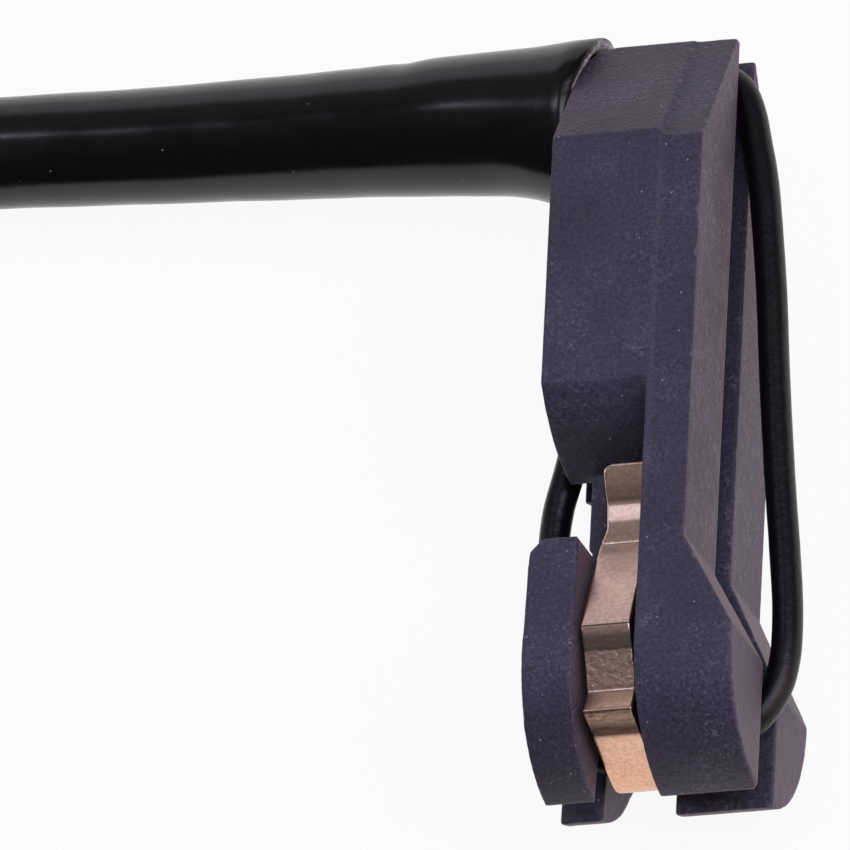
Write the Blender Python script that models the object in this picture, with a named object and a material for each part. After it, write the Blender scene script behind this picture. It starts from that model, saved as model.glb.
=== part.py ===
"""Brake pad wear sensor: a moulded head with a retaining leaf spring and a wear loop,
on a sleeved lead that ends in a two-way plug.

The head lies on its rear face. +X runs across the head to its foot's side, +Y runs up its
long axis, and +Z points out of its front face. Sizes are in millimetres until make_mesh.
"""

import math
from types import SimpleNamespace

import bmesh
import bpy
from mathutils import Matrix, Vector

MM = 0.001
GAP = 0.33

# Head: outline seen from the front, with X from the block's outer side
HEAD_TOP = 32.45
BLOCK_LEFT = 0.15
FOOT_END = -0.3
FOOT_WIDTH = 8.6
ARM_RIGHT = 6.4
ARM_LEFT = 4.55
JAW_RIGHT = 2.05
JAW_TOP = 9.45
JAW_CORNER = 0.4
JAW_LEAN = 0.25
FLARE_TOP = 9.2
FLARE_FOOT = 5.2
REAR_FLARE_TOP = 9.7
REAR_FLARE_FOOT = 4.9
TOP_CORNER = 1.5
FOOT_CORNER = 0.4

# Head: layers through its depth, from the rear face up
REAR_LAYER = 4.1
WIRE_GROOVE = 1.9
FRONT_LAYER = 4.4
HEAD_DEPTH = REAR_LAYER + WIRE_GROOVE + FRONT_LAYER
MID_DEPTH = HEAD_DEPTH / 2
GROOVE_MID = REAR_LAYER + WIRE_GROOVE / 2

# Head: slopes at the top, and the round underside of the block
CHAMFER_START = 26.9
CHAMFER_DEPTH = 3.85
BLOCK_FLOOR = 13.6
BLOCK_ARC = 6.5
REAR_SLOT_LEFT = 1.75

# Shallow step where the arm's front face lies lower than the block's
ARM_STEP = 0.12
ARM_STEP_LEFT = 4.7
ARM_STEP_START = 9.0
ARM_STEP_END = 11.0

# Web that joins the two layers, inset by the depth of the wire groove
GROOVE_DEPTH = 1.25
WEB_BOTTOM = 2.75
WEB_CLEARANCE = 0.45
WIRE_POCKET = 2.75
WIRE_POCKET_BOTTOM = 19.5
WEB_JOIN = 0.6

# Neck that the sleeve is pushed over
NECK_RADIUS = 2.1
NECK_LENGTH = 3.0
NECK_CORE = 0.8
NECK_Y = 30.0

# Wear loop: insulated wire
WIRE_RADIUS = 0.62
LOOP_END = -6.0
LOOP_POINTS = 76

# Retaining spring: strip thickness and sides
SPRING_THICKNESS = 0.26
SPRING_SIDE_GAP = 0.3
TONGUE_INSET = 0.42

# Sleeve over both conductors, and its flared mouth on the neck
SLEEVE_DIAMETER = 4.5
SLEEVE_WALL = 0.4
MOUTH_LENGTH = 6.4
MOUTH_LIP = 1.2
MOUTH_LIP_START = 31.1
MOUTH_SIDES = 28

# Coil of the sleeved lead, lying past the head's left side
COIL_RADIUS = 26.0
COIL_SIDES = 72
LAYER_RISE = SLEEVE_DIAMETER * math.sqrt(3) / 2
TIE_WIDTH = 4.0
TIE_THICKNESS = 0.4
TIE_ANGLES = (135, 235)
COIL_LIFT = TIE_THICKNESS + GAP
TAIL_START = 5.6

# Two-way plug at the lead's far end
PLUG_LENGTH = 18.0
PLUG_WIDTH = 11.0
PLUG_HEIGHT = 8.6
NOSE_LENGTH = 7.0
NOSE_WIDTH = 8.0
NOSE_HEIGHT = 5.2
HOUSING_EDGE = 1.6
NOSE_EDGE = 1.0
CONTACT_PITCH = 3.6
CONTACT_BORE = 1.15
CONTACT_RADIUS = 0.85
CONTACT_WALL = 0.3
CONTACT_LENGTH = 9.0
CONTACT_MOUTH = 5.0
SEAL_THICKNESS = 1.0
SEAL_LENGTH = 2.4
LOCK_LENGTH = 1.6
LOCK_SIDE_WALL = 0.9
LOCK_TOP_WALL = 0.8
LOCK_EDGE = 0.5
LOCK_BORE = 0.9
WIRE_SEAL_RADIUS = 1.55
WIRE_SEAL_LENGTH = 3.6
WIRE_SEAL_BORE = 0.95
COVER_LENGTH = 9.0
COVER_BODY = 4.5
COVER_RADIUS = 3.7
COVER_INSET = 0.4
COVER_EDGE = 1.5
SLEEVE_ENTRY = 4.0
LATCH_WIDTH = 4.0
LATCH_LENGTH = 12.0
LATCH_THICKNESS = 0.9
LATCH_RISE = 1.0
CORE_WIRE_RADIUS = 0.6
CORE_WIRE_PITCH = 1.9


# The lead's route from the head to its coil: centre points chosen by hand
LEAD_ROUTE = (
    (-0.25, 30.02, 5.19),
    (-2.2, 30.11, 5.13),
    (-6.1, 30.36, 4.9),
    (-9.8, 30.6, 4.5),
    (-14.5, 30.95, 3.95),
    (-20.0, 31.35, 3.45),
    (-24.8, 31.7, 3.12),
    (-31.0, 32.0, 2.97),
    (-38.0, 32.15, 2.95),
    (-46.0, 32.2, 2.95),
    (-54.0, 32.2, 2.95),
)
LEAD_RADII = (3.12, 2.99, 2.81, 2.6, 2.46, 2.33, 2.26, 2.25, 2.25, 2.25, 2.25)
COIL_CENTRE = (-60.0, LEAD_ROUTE[-1][1] - COIL_RADIUS - SLEEVE_DIAMETER / 2)

# The wear loop's route from one end in the sleeve, round the head, to the other end
LOOP_ROUTE = (
    (LOOP_END, 31.2, 4.95),
    (-4.0, 31.25, 5.0),
    (-1.5, 31.32, 5.05),
    (1.0, 31.38, GROOVE_MID),
    (3.4, 31.42, GROOVE_MID),
    (5.2, 31.35, GROOVE_MID),
    (6.1, 30.9, GROOVE_MID),
    (6.62, 29.9, GROOVE_MID),
    (6.98, 28.4, GROOVE_MID),
    (7.4, 26.2, GROOVE_MID),
    (7.87, 22.0, GROOVE_MID),
    (8.19, 18.0, GROOVE_MID),
    (8.6, 13.6, GROOVE_MID),
    (8.95, 10.4, GROOVE_MID),
    (9.18, 7.8, GROOVE_MID),
    (9.16, 5.8, GROOVE_MID),
    (8.8, 4.35, GROOVE_MID),
    (7.9, 3.1, GROOVE_MID),
    (6.5, 2.2, GROOVE_MID),
    (4.9, 1.86, GROOVE_MID),
    (3.2, 1.82, GROOVE_MID),
    (1.7, 2.05, GROOVE_MID),
    (0.62, 2.95, GROOVE_MID),
    (0.2, 4.5, GROOVE_MID),
    (0.05, 6.4, GROOVE_MID),
    (-0.4, 8.8, GROOVE_MID),
    (-0.72, 11.0, GROOVE_MID),
    (-0.62, 12.9, GROOVE_MID),
    (-0.2, 14.8, GROOVE_MID),
    (0.25, 17.2, GROOVE_MID),
    (0.4, 20.5, GROOVE_MID),
    (0.9, 23.2, GROOVE_MID),
    (1.5, 25.2, GROOVE_MID),
    (1.72, 26.8, GROOVE_MID),
    (1.3, 28.1, GROOVE_MID),
    (0.1, 28.65, GROOVE_MID),
    (-1.8, 28.65, 5.04),
    (-3.8, 28.8, 5.0),
    (LOOP_END, 29.2, 4.95),
)
WEB_TOP = max(p[1] for p in LOOP_ROUTE) - WIRE_RADIUS - WEB_CLEARANCE

# Front surface of the spring, from its tongue's tip down: height along the head, and depth
# behind the front face
SPRING_PROFILE = (
    (12.86, 0.96),
    (12.62, 1.06),
    (12.15, 1.3),
    (11.5, 1.72),
    (10.7, 1.86),
    (10.1, 1.86),
    (9.75, 1.82),
    (9.35, 1.74),
    (8.9, 1.58),
    (7.56, 0.9),
    (6.5, 0.5),
    (6.1, 0.46),
    (5.8, 0.54),
    (4.9, 0.98),
    (4.6, 1.08),
    (3.05, 1.42),
    (2.5, 1.55),
    (1.9, 1.8),
    (1.55, 2.15),
    (1.2, 2.75),
    (0.85, 3.5),
    (0.56, 4.3),
    (0.5, 4.8),
    (0.62, 5.4),
    (0.86, 6.08),
    (1.4, 6.65),
    (2.2, 7.4),
    (3.4, 7.75),
    (6.2, 7.75),
)


def clear_scene():
    """Remove every object that the startup scene holds."""
    for item in list(bpy.data.objects):
        bpy.data.objects.remove(item, do_unlink=True)


def make_material(name, colour, roughness, metallic=0.0):
    """A plain Principled material."""
    found = bpy.data.materials.new(name)
    found.use_nodes = True
    shader = found.node_tree.nodes["Principled BSDF"]
    shader.inputs["Base Color"].default_value = (*colour, 1.0)
    shader.inputs["Roughness"].default_value = roughness
    shader.inputs["Metallic"].default_value = metallic
    return found


def make_mesh(name, shape, material=None):
    """An object from a bmesh in millimetres, with its normals facing out."""
    bmesh.ops.scale(shape, vec=(MM, MM, MM), verts=shape.verts)
    bmesh.ops.recalc_face_normals(shape, faces=shape.faces)
    mesh = bpy.data.meshes.new(name)
    shape.to_mesh(mesh)
    shape.free()
    mesh.shade_smooth()
    mesh.set_sharp_from_angle(angle=math.radians(35))
    made = bpy.data.objects.new(name, mesh)
    bpy.context.scene.collection.objects.link(made)
    if material:
        mesh.materials.append(material)
    return made


def prism(name, outline, axis, low, high, material=None):
    """Extrude an outline along X, Y or Z. Its two values are the other two axes in order."""
    order = {"X": (1, 2, 0), "Y": (0, 2, 1), "Z": (0, 1, 2)}[axis]
    shape = bmesh.new()
    rings = []
    for level in (low, high):
        ring = []
        for first, second in outline:
            place = [0.0, 0.0, 0.0]
            place[order[0]], place[order[1]], place[order[2]] = first, second, level
            ring.append(shape.verts.new(place))
        rings.append(ring)
    count = len(outline)
    shape.faces.new(rings[0])
    shape.faces.new(rings[1])
    for i in range(count):
        j = (i + 1) % count
        shape.faces.new((rings[0][i], rings[0][j], rings[1][j], rings[1][i]))
    return make_mesh(name, shape, material)


def rounded_box(name, low, high, edge, axis, material=None, segments=3):
    """A box whose four edges along one axis are rounded."""
    order = {"X": (1, 2, 0), "Y": (0, 2, 1), "Z": (0, 1, 2)}[axis]
    a, b, c = order
    corners = (
        (high[a] - edge, high[b] - edge, 0),
        (low[a] + edge, high[b] - edge, 90),
        (low[a] + edge, low[b] + edge, 180),
        (high[a] - edge, low[b] + edge, 270),
    )
    outline = []
    for x, y, start in corners:
        outline += arc(x, y, edge, start, start + 90, segments)
    return prism(name, outline, axis, low[c], high[c], material)


def arc(x, y, radius, start, end, segments):
    """Points on an arc, its angles in degrees."""
    found = []
    for i in range(segments + 1):
        angle = math.radians(start + (end - start) * i / segments)
        found.append((x + radius * math.cos(angle), y + radius * math.sin(angle)))
    return found


def rod(name, start, end, radius, material=None, sides=24, end_radius=None):
    """A round bar or cone between two points."""
    start, end = Vector(start), Vector(end)
    turn = (end - start).to_track_quat("Z", "Y").to_matrix().to_4x4()
    shape = bmesh.new()
    bmesh.ops.create_cone(
        shape,
        cap_ends=True,
        segments=sides,
        radius1=radius,
        radius2=radius if end_radius is None else end_radius,
        depth=(end - start).length,
        matrix=Matrix.Translation((start + end) / 2) @ turn,
    )
    return make_mesh(name, shape, material)


def combine(target, tool, operation):
    """Join a tool into the target, cut it out, or keep the common part, and apply it."""
    modifier = target.modifiers.new(tool.name, "BOOLEAN")
    modifier.operation = operation
    modifier.solver = "EXACT"
    modifier.object = tool
    graph = bpy.context.evaluated_depsgraph_get()
    result = bpy.data.meshes.new_from_object(target.evaluated_get(graph), depsgraph=graph)
    target.modifiers.clear()
    old, target.data = target.data, result
    bpy.data.meshes.remove(old)
    bpy.data.objects.remove(tool, do_unlink=True)


def tidy_shading(target):
    """Smooth shading with sharp edges, after the cuts."""
    target.data.shade_smooth()
    target.data.set_sharp_from_angle(angle=math.radians(30))


def smooth_path(points, count):
    """Points evenly spaced on a smooth curve through the route's own points."""
    points = [Vector(p) for p in points]
    ends = [2 * points[0] - points[1], *points, 2 * points[-1] - points[-2]]
    dense = []
    steps = 24
    for i in range(1, len(ends) - 2):
        before, start, end, after = ends[i - 1 : i + 3]
        for j in range(steps):
            t = j / steps
            dense.append(
                0.5
                * (
                    2 * start
                    + (end - before) * t
                    + (2 * before - 5 * start + 4 * end - after) * t**2
                    + (3 * start - before - 3 * end + after) * t**3
                )
            )
    dense.append(points[-1])
    lengths = [0.0]
    for first, second in zip(dense, dense[1:]):
        lengths.append(lengths[-1] + (second - first).length)
    found = []
    j = 0
    for i in range(count):
        wanted = lengths[-1] * i / (count - 1)
        while j < len(lengths) - 2 and lengths[j + 1] < wanted:
            j += 1
        share = (wanted - lengths[j]) / (lengths[j + 1] - lengths[j])
        found.append(dense[j].lerp(dense[j + 1], min(share, 1.0)))
    return found


def tube(name, points, radius, material, sides_level=2, radii=None):
    """A round cord along its points, as a curve with a bevel and filled caps."""
    curve = bpy.data.curves.new(name, "CURVE")
    curve.dimensions = "3D"
    curve.bevel_depth = radius * MM
    curve.bevel_resolution = sides_level
    curve.use_fill_caps = True
    spline = curve.splines.new("POLY")
    spline.points.add(len(points) - 1)
    for i, (knot, place) in enumerate(zip(spline.points, points)):
        knot.co = (*(Vector(place) * MM), 1.0)
        knot.radius = radii[i] / radius if radii else 1.0
    curve.materials.append(material)
    made = bpy.data.objects.new(name, curve)
    bpy.context.scene.collection.objects.link(made)
    return made


def block_underside(side_reach):
    """Side profile of the space below the block, down to the jaw's top: Y against Z."""
    centre = BLOCK_FLOOR + BLOCK_ARC
    reach = math.degrees(math.acos((MID_DEPTH + side_reach) / BLOCK_ARC))
    roof = arc(centre, MID_DEPTH, BLOCK_ARC, 180 + 90 - reach, 180 - 90 + reach, 20)
    return [(JAW_TOP, -side_reach), *roof, (JAW_TOP, HEAD_DEPTH + side_reach)]


def side_profile():
    """Side view of the whole head: a half round end, and a slope on both faces at the top."""
    bottom = arc(FOOT_END + MID_DEPTH, MID_DEPTH, MID_DEPTH, 90, 270, 32)
    return [
        *bottom,
        (CHAMFER_START, 0.0),
        (HEAD_TOP, CHAMFER_DEPTH),
        (HEAD_TOP, HEAD_DEPTH - CHAMFER_DEPTH),
        (CHAMFER_START, HEAD_DEPTH),
    ]


def head_outline(flare_foot, flare_top):
    """Front view of one layer of the head: a lean below the block, a flare at the foot."""
    low = FOOT_END - 0.1
    inner = FOOT_WIDTH - FOOT_CORNER
    return [
        (-JAW_LEAN, low),
        *arc(inner, FOOT_END + FOOT_CORNER, FOOT_CORNER, -90, 0, 3),
        (FOOT_WIDTH, flare_foot),
        (ARM_RIGHT, flare_top),
        (ARM_RIGHT, HEAD_TOP),
        *arc(BLOCK_LEFT + TOP_CORNER, HEAD_TOP - TOP_CORNER, TOP_CORNER, 90, 180, 5),
        (BLOCK_LEFT, BLOCK_FLOOR),
    ]


def web_outline():
    """Front view of the web that joins the layers, set in from their edges."""
    right = ARM_RIGHT - GROOVE_DEPTH
    foot = FOOT_WIDTH - GROOVE_DEPTH
    return [
        *arc(GROOVE_DEPTH + 1.4, WEB_BOTTOM + 1.4, 1.4, 180, 270, 5),
        (right, WEB_BOTTOM),
        (foot - 0.4, WEB_BOTTOM + 2.0),
        (foot, FLARE_FOOT + 0.1),
        (right, FLARE_TOP - 0.3),
        (right, WEB_TOP),
        (WIRE_POCKET, WEB_TOP),
        (WIRE_POCKET, WIRE_POCKET_BOTTOM + 2.0),
        (GROOVE_DEPTH, WIRE_POCKET_BOTTOM),
    ]


def layer(name, low, high, slot_left, slot_top, flare):
    """One layer of the head: block, arm, foot and jaw round an open slot."""
    made = prism(name, head_outline(*flare), "Z", low, high)
    combine(made, prism("side_shape", side_profile(), "X", -1.0, FOOT_WIDTH + 1.0), "INTERSECT")
    margin = 1.0
    roof = block_underside(margin)
    combine(made, prism("notch", roof, "X", -margin, slot_left), "DIFFERENCE")
    slot = [
        (slot_left - 0.01 - JAW_LEAN, -margin),
        (ARM_LEFT, -margin),
        (ARM_LEFT, slot_top),
        (slot_left - 0.01, slot_top),
        (slot_left - 0.01, FLARE_FOOT),
    ]
    combine(made, prism("slot", slot, "Z", -margin, HEAD_DEPTH + margin), "DIFFERENCE")
    return made


def sensor_head(material):
    """The moulded head: two layers on a web, with the neck for the sleeve."""
    groove_top = REAR_LAYER + WIRE_GROOVE
    flare = (FLARE_FOOT, FLARE_TOP)
    head = layer("sensor_head", groove_top, HEAD_DEPTH, JAW_RIGHT, JAW_TOP + 0.01, flare)
    roof = block_underside(1.0)
    combine(head, prism("slot_roof", roof, "X", JAW_RIGHT - 0.5, ARM_LEFT), "DIFFERENCE")
    corner = [
        (BLOCK_LEFT - 1.0, JAW_TOP + 1.0),
        (BLOCK_LEFT - 1.0, JAW_TOP - JAW_CORNER - 1.0),
        (BLOCK_LEFT + JAW_CORNER + 1.0, JAW_TOP + 1.0),
    ]
    step = [
        (ARM_STEP_START, HEAD_DEPTH + 1.0),
        (ARM_STEP_START, HEAD_DEPTH),
        (ARM_STEP_END, HEAD_DEPTH - ARM_STEP),
        (CHAMFER_START - 0.3, HEAD_DEPTH - ARM_STEP),
        (HEAD_TOP, HEAD_DEPTH - CHAMFER_DEPTH - ARM_STEP),
        (HEAD_TOP + 1.0, HEAD_DEPTH - CHAMFER_DEPTH - ARM_STEP),
        (HEAD_TOP + 1.0, HEAD_DEPTH + 1.0),
    ]
    combine(head, prism("arm_step", step, "X", ARM_STEP_LEFT, FOOT_WIDTH + 1.0), "DIFFERENCE")
    flare = (REAR_FLARE_FOOT, REAR_FLARE_TOP)
    rear = layer("rear_layer", 0.0, REAR_LAYER, REAR_SLOT_LEFT, JAW_TOP, flare)
    web = prism("web", web_outline(), "Z", REAR_LAYER - WEB_JOIN, groove_top + WEB_JOIN)
    combine(head, web, "UNION")
    combine(head, rear, "UNION")
    combine(head, prism("jaw_corner", corner, "Z", -1.0, HEAD_DEPTH + 1.0), "DIFFERENCE")
    root = (WIRE_POCKET + 0.8, NECK_Y, MID_DEPTH)
    tip = (-NECK_LENGTH, NECK_Y, MID_DEPTH)
    neck = rod("neck", root, tip, NECK_RADIUS)
    for low, high in ((NECK_Y + NECK_CORE / 2, NECK_Y + 4), (NECK_Y - 4, NECK_Y - NECK_CORE / 2)):
        slot = rounded_box(
            "neck_slot",
            (-NECK_LENGTH - 1, low, REAR_LAYER),
            (WIRE_POCKET + 1.0, high, groove_top),
            0.05,
            "X",
            segments=1,
        )
        combine(neck, slot, "DIFFERENCE")
    combine(head, neck, "UNION")
    head.data.materials.append(material)
    tidy_shading(head)
    return head


def retaining_spring(material):
    """The leaf spring between jaw and arm: a narrow tongue, a ridge and a tail."""
    left = JAW_RIGHT + SPRING_SIDE_GAP
    right = ARM_LEFT - SPRING_SIDE_GAP
    shape = bmesh.new()
    rows = []
    for i, (height, depth) in enumerate(SPRING_PROFILE):
        before = Vector(SPRING_PROFILE[max(i - 1, 0)])
        after = Vector(SPRING_PROFILE[min(i + 1, len(SPRING_PROFILE) - 1)])
        along = (after - before).normalized()
        back = Vector((along.y, -along.x)) * SPRING_THICKNESS
        if height > 9.8 and depth < 2.0:
            side = left + TONGUE_INSET + (0.3 if i == 0 else 0.06 if i == 1 else 0.0)
        elif i == 6:
            side = left + TONGUE_INSET * 0.75
        else:
            side = left
        front = (height, HEAD_DEPTH - depth)
        rear = (height + back.x, HEAD_DEPTH - depth - back.y)
        rows.append(
            [
                shape.verts.new((side, *front)),
                shape.verts.new((right, *front)),
                shape.verts.new((right, *rear)),
                shape.verts.new((side, *rear)),
            ]
        )
    for upper, lower in zip(rows, rows[1:]):
        for i in range(4):
            j = (i + 1) % 4
            shape.faces.new((upper[i], upper[j], lower[j], lower[i]))
    shape.faces.new(rows[0])
    shape.faces.new(rows[-1])
    return make_mesh("retaining_spring", shape, material)


def wear_loop(material):
    """The insulated wire that runs round the head in its groove."""
    points = smooth_path(LOOP_ROUTE, LOOP_POINTS)
    return tube("wear_loop_wire", points, WIRE_RADIUS, material)


def frames_along(points):
    """A side and an up vector at each point, square to the path."""
    found = []
    for i, place in enumerate(points):
        along = points[min(i + 1, len(points) - 1)] - points[max(i - 1, 0)]
        side = along.normalized().cross(Vector((0, 0, 1))).normalized()
        found.append((place, side, side.cross(along).normalized()))
    return found


def sleeve_mouth(points, radii, material):
    """The flared, hollow stretch of sleeve that is pushed over the neck."""
    shape = bmesh.new()
    rings = []
    frames = frames_along(points)
    walls = [(frame, radius) for frame, radius in zip(frames, radii)]
    walls += [(frame, radius - SLEEVE_WALL) for frame, radius in reversed(walls)]
    for (place, side, up), radius in walls:
        ring = []
        for i in range(MOUTH_SIDES):
            angle = 2 * math.pi * i / MOUTH_SIDES
            spot = place + radius * (math.cos(angle) * side + math.sin(angle) * up)
            if place is points[0]:
                share = min(max((spot.y - MOUTH_LIP_START) / (2 * MOUTH_LIP), 0.0), 1.0)
                spot.x += MOUTH_LIP * share * share * (3 - 2 * share)
            ring.append(shape.verts.new(spot))
        rings.append(ring)
    for first, second in zip(rings, rings[1:] + rings[:1]):
        for i in range(MOUTH_SIDES):
            j = (i + 1) % MOUTH_SIDES
            shape.faces.new((first[i], first[j], second[j], second[i]))
    return make_mesh("sleeve_mouth", shape, material)


def lead_radius(place):
    """The sleeve's radius at a place on the route, from the head's side leftwards."""
    spots = [(-p[0], r) for p, r in zip(LEAD_ROUTE, LEAD_RADII)]
    for (x0, r0), (x1, r1) in zip(spots, spots[1:]):
        if -place.x <= x1:
            return r0 + (r1 - r0) * max(-place.x - x0, 0.0) / (x1 - x0)
    return LEAD_RADII[-1]


def path_length(points):
    """The length of a path."""
    return sum((b - a).length for a, b in zip(points, points[1:]))


def thinned(points, step):
    """Every step-th point of a path, and its last one."""
    last = len(points) - 1
    kept = [p for i, p in enumerate(points) if i % step == 0 and last - i > step / 2]
    return [*kept, points[-1]]


def cut_path(points, start, end):
    """The points between two distances along a path, with both ends added."""
    found = []
    done = 0.0
    for first, second in zip(points, points[1:]):
        step = (second - first).length
        for wanted in (start, end):
            if done <= wanted < done + step:
                found.append((wanted, first.lerp(second, (wanted - done) / step)))
        done += step
        if start < done < end:
            found.append((done, second))
    found.sort(key=lambda pair: pair[0])
    return [place for _, place in found]


def sleeve_run(material):
    """The sleeve from the head to the coil: its hollow mouth, then a plain tube."""
    route = smooth_path(LEAD_ROUTE, 160)
    reach = COIL_RADIUS + SLEEVE_DIAMETER + GAP / 2
    centre = Vector((*COIL_CENTRE, 0.0))
    stop = 0.0
    for first, second in zip(route, route[1:]):
        near_side = Vector((second.x, second.y - SLEEVE_DIAMETER / 2, 0.0))
        if (near_side - centre).length < reach:
            break
        stop += (second - first).length
    hollow = thinned(cut_path(route, 0.0, MOUTH_LENGTH), 2)
    radii = [lead_radius(p) for p in hollow]
    sleeve_mouth(hollow, radii, material)
    solid = thinned(cut_path(route, MOUTH_LENGTH + GAP, stop), 8)
    tube(
        "sleeve_run",
        solid,
        SLEEVE_DIAMETER / 2,
        material,
        sides_level=3,
        radii=[lead_radius(p) for p in solid],
    )


def sleeve_coil(material):
    """The outer shape of the coiled lead: two turns side by side and a half turn on them."""
    d = SLEEVE_DIAMETER
    low = COIL_LIFT
    top = low + d / 2 + LAYER_RISE
    section = [
        *arc(-d / 2, low + d / 2, d / 2, 180, 270, 3),
        *arc(d / 2, low + d / 2, d / 2, 270, 360, 3),
        *arc(0.0, top, d / 2, 30, 150, 6),
    ]
    shape = bmesh.new()
    rings = []
    for i in range(COIL_SIDES):
        angle = 2 * math.pi * i / COIL_SIDES
        ring = []
        for across, height in section:
            radius = COIL_RADIUS + across
            x = COIL_CENTRE[0] + radius * math.cos(angle)
            y = COIL_CENTRE[1] + radius * math.sin(angle)
            ring.append(shape.verts.new((x, y, height)))
        rings.append(ring)
    count = len(section)
    for first, second in zip(rings, rings[1:] + rings[:1]):
        for i in range(count):
            j = (i + 1) % count
            shape.faces.new((first[i], first[j], second[j], second[i]))
    return make_mesh("sleeve_coil", shape, material)


def coil_tie(number, angle, material):
    """A flat tie closed round the coil at one place."""
    d = SLEEVE_DIAMETER
    inner_low = COIL_LIFT - GAP
    half = d + GAP
    shoulder = COIL_LIFT + d + GAP
    crown = COIL_LIFT + d + LAYER_RISE + 1.3 * GAP
    inner = [
        (-half, inner_low),
        (half, inner_low),
        (half, shoulder),
        (d / 2.6, crown),
        (-d / 2.6, crown),
        (-half, shoulder),
    ]
    t = TIE_THICKNESS
    outer = [
        (-half - t, inner_low - t),
        (half + t, inner_low - t),
        (half + t, shoulder + t / 2),
        (d / 2.6 + t / 2, crown + t),
        (-d / 2.6 - t / 2, crown + t),
        (-half - t, shoulder + t / 2),
    ]
    turn = Matrix.Rotation(math.radians(angle), 4, "Z")
    centre = Vector((*COIL_CENTRE, 0.0))
    shape = bmesh.new()
    rings = []
    for outline, side in ((outer, -1), (outer, 1), (inner, 1), (inner, -1)):
        ring = []
        for across, height in outline:
            spot = Vector((COIL_RADIUS + across, side * TIE_WIDTH / 2, height))
            ring.append(shape.verts.new(turn @ spot + centre))
        rings.append(ring)
    for first, second in zip(rings, rings[1:] + rings[:1]):
        for i in range(len(inner)):
            j = (i + 1) % len(inner)
            shape.faces.new((first[i], first[j], second[j], second[i]))
    return make_mesh(f"coil_tie_{number}", shape, material)


def tail_route():
    """The lead from the top of its coil down to the plug, as centre points."""
    x, y = COIL_CENTRE
    y -= COIL_RADIUS
    top = COIL_LIFT + SLEEVE_DIAMETER / 2 + LAYER_RISE
    axis = PLUG_HEIGHT / 2
    return (
        (x, y, top),
        (x + 6.0, y - 0.05, top + 0.3),
        (x + 11.0, y - 0.15, top + 0.6),
        (x + 15.0, y - 0.3, top + 0.35),
        (x + 19.5, y - 0.45, top - 0.75),
        (x + 24.0, y - 0.5, axis + 0.75),
        (x + 28.0, y - 0.5, axis + 0.1),
        (x + 31.0, y - 0.5, axis),
        (x + 36.0, y - 0.5, axis),
    )


def sleeve_tail(material):
    """The plain tube from the coil's outer edge to inside the plug's rear cover."""
    route = smooth_path(tail_route(), 60)
    centre = Vector((*COIL_CENTRE, 0.0))
    start = 0.0
    reach = COIL_RADIUS + TAIL_START
    for first, second in zip(route, route[1:]):
        if (Vector((second.x, second.y, 0.0)) - centre).length > reach:
            break
        start += (second - first).length
    points = thinned(cut_path(route, start, path_length(route) - 0.001), 3)
    return tube("sleeve_tail", points, SLEEVE_DIAMETER / 2, material, sides_level=3)


def plug_stations():
    """Where the plug's axis lies, and where its pieces start and end along it."""
    x, y, z = tail_route()[-1]
    cover = x - SLEEVE_ENTRY
    housing = cover + COVER_LENGTH
    nose_end = housing + PLUG_LENGTH
    return SimpleNamespace(
        sleeve=x,
        y=y,
        z=z,
        cover=cover,
        housing=housing,
        body_end=nose_end - NOSE_LENGTH,
        nose_end=nose_end,
        contact_end=nose_end - LOCK_LENGTH - 2 * GAP,
    )


def contact_rows():
    """Each contact's number, its side of the plug's axis, and its own place across."""
    y = tail_route()[-1][1]
    return [(number, side, y + side * CONTACT_PITCH / 2) for number, side in ((1, -1), (2, 1))]


def plug_block(name, start, end, width, height, edge, material=None):
    """A rounded block on the plug's axis between two places along it."""
    at = plug_stations()
    return rounded_box(
        name,
        (start, at.y - width / 2, at.z - height / 2),
        (end, at.y + width / 2, at.z + height / 2),
        edge,
        "X",
        material,
        segments=4,
    )


def plug_bore(piece, start, end, row, radius, sides=20):
    """Bore a piece of the plug along its axis at one place across."""
    z = plug_stations().z
    combine(piece, rod("bore", (start, row, z), (end, row, z), radius, sides=sides), "DIFFERENCE")


def latch_arm():
    """The latch's arm, which stands on the housing's top."""
    at = plug_stations()
    root = at.z + PLUG_HEIGHT / 2 - 0.5
    crest = at.z + PLUG_HEIGHT / 2 + LATCH_RISE
    free_end = at.housing + 1.0 + LATCH_LENGTH
    outline = [
        (at.housing + 1.0, root),
        (at.housing + 3.0, root),
        (at.housing + 4.2, crest - LATCH_THICKNESS),
        (free_end, crest - LATCH_THICKNESS),
        (free_end, crest),
        (at.housing + 2.6, crest),
    ]
    return prism("latch", outline, "Y", at.y - LATCH_WIDTH / 2, at.y + LATCH_WIDTH / 2)


def connector_housing(material):
    """The plug's housing: body, nose and latch, bored for two contacts and their seals."""
    at = plug_stations()
    housing = plug_block(
        "connector_housing", at.housing, at.body_end, PLUG_WIDTH, PLUG_HEIGHT, HOUSING_EDGE
    )
    nose = plug_block("nose", at.body_end - 1.0, at.nose_end, NOSE_WIDTH, NOSE_HEIGHT, NOSE_EDGE)
    combine(housing, nose, "UNION")
    combine(housing, latch_arm(), "UNION")
    seat_end = at.housing + WIRE_SEAL_LENGTH + GAP
    for _, _, row in contact_rows():
        plug_bore(housing, at.housing - 1.0, at.nose_end + 1.0, row, CONTACT_BORE)
        plug_bore(housing, at.housing - 1.0, seat_end, row, WIRE_SEAL_RADIUS + GAP / 2)
    space = plug_block(
        "lock_space",
        at.nose_end - LOCK_LENGTH - GAP,
        at.nose_end + 1.0,
        NOSE_WIDTH - 2 * LOCK_SIDE_WALL,
        NOSE_HEIGHT - 2 * LOCK_TOP_WALL,
        LOCK_EDGE,
    )
    combine(housing, space, "DIFFERENCE")
    housing.data.materials.append(material)
    tidy_shading(housing)


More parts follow.
